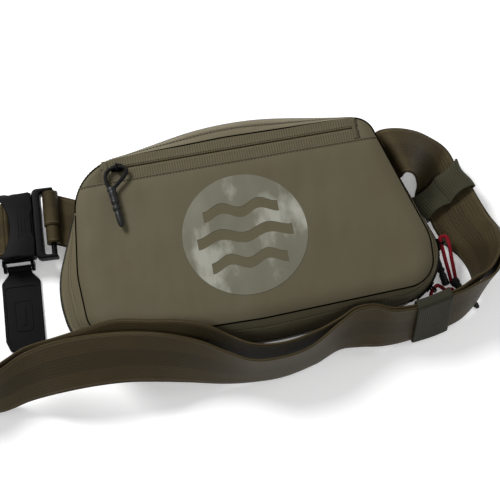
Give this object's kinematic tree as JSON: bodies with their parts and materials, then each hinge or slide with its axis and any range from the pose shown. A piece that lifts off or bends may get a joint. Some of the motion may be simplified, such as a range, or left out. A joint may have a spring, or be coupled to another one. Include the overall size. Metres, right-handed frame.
{
  "type": "waist pack",
  "caption": "Zipped, padded waist pack lying on its back, with a front pocket, webbing belt, side-release buckle, elastic keepers, release tab and cord zipper pulls.",
  "frame": {"origin": "middle of the back panel's resting face", "axes": "+X along the pack's width towards its straight zipped side, +Y towards the zipped top edge, +Z out through the front panel"},
  "size_m": [0.5362, 0.2439, 0.0672],
  "materials": {
    "nylon_shell": "smooth coated nylon, olive drab",
    "padded_back": "dark air mesh over foam",
    "lining": "light packcloth",
    "zipper_tape": "woven olive zipper tape",
    "zipper_coil": "dark nylon coil",
    "slider_metal": "black enamel",
    "cord_black": "black braided cord",
    "cord_red": "red braided cord",
    "grip_rubber": "moulded black, satin",
    "emblem_film": "silver-grey reflective film",
    "buckle_plastic": "moulded black acetal",
    "pin_steel": "plain steel",
    "tab_rubber": "flat black rubber",
    "webbing": "woven nylon webbing, brown olive with a darker centre stripe",
    "elastic": "ribbed woven elastic, green olive"
  },
  "bodies": {
    "pack": {"anchor_loop": "webbing", "anchor_sleeve": "nylon_shell", "back_panel": "padded_back", "belt_inner_layer": "webbing", "belt_outer_layer": "webbing", "belt_socket_loop": "webbing", "bottom_hinge_gusset": "nylon_shell", "buckle_plug": "buckle_plastic", "buckle_socket": "buckle_plastic", "emblem": "emblem_film", "front_panel": "nylon_shell", "front_zipper_coil_lower": "zipper_coil", "front_zipper_coil_upper": "zipper_coil", "front_zipper_tape_lower": "zipper_tape", "front_zipper_tape_upper": "zipper_tape", "gusset_narrow_strip": "nylon_shell", "gusset_wide_strip": "nylon_shell", "keeper_lower": "elastic", "keeper_upper": "elastic", "main_slider_a": "slider_metal", "main_slider_b": "slider_metal", "main_zipper_coil_front": "zipper_coil", "main_zipper_coil_rear": "zipper_coil", "main_zipper_tape_front": "zipper_tape", "main_zipper_tape_rear": "zipper_tape", "pocket_divider": "lining", "rear_gusset": "nylon_shell", "red_cord_a": "cord_red", "red_cord_b": "cord_red", "red_grip_a": "grip_rubber", "red_grip_b": "grip_rubber", "red_knot_b": "cord_red", "tab_pin": "pin_steel", "zipper_garage_left": "nylon_shell", "zipper_garage_right": "nylon_shell"},
    "front_slider": {"front_slider": "slider_metal"},
    "front_pull": {"front_pull_cord": "cord_black", "front_pull_grip": "grip_rubber"},
    "prong_upper": {"buckle_prong_upper": "buckle_plastic"},
    "prong_lower": {"buckle_prong_lower": "buckle_plastic"},
    "release_tab": {"pull_tab": "tab_rubber"}
  },
  "joints": [
    {"name": "front_slider_travel", "type": "slide", "parent": "pack", "child": "front_slider", "axis": [1, 0, 0], "range_m": [0, 0.208]},
    {"name": "front_pull_lift", "type": "hinge", "parent": "front_slider", "child": "front_pull", "pos_m": [-0.106, 0.0725, 0.0584], "axis": [-1, 0, 0], "range_deg": [0, 160]},
    {"name": "prong_upper_flex", "type": "hinge", "parent": "pack", "child": "prong_upper", "pos_m": [-0.1907, 0.0669, 0.018], "axis": [0, 0, 1], "range_deg": [0, 8], "stiffness_Nm_per_rad": 0.4},
    {"name": "prong_lower_flex", "type": "hinge", "parent": "pack", "child": "prong_lower", "pos_m": [-0.193, 0.0229, 0.018], "axis": [0, 0, 1], "range_deg": [-8, 0], "stiffness_Nm_per_rad": 0.4},
    {"name": "release_tab_lift", "type": "hinge", "parent": "pack", "child": "release_tab", "pos_m": [-0.21231, 0.01041, 0.004], "axis": [-0.9986, 0.0523, 0], "range_deg": [0, 95]}
  ],
  "couplings": [
    {"joint": "prong_lower_flex", "follows": "prong_upper_flex", "ratio": -1}
  ]
}
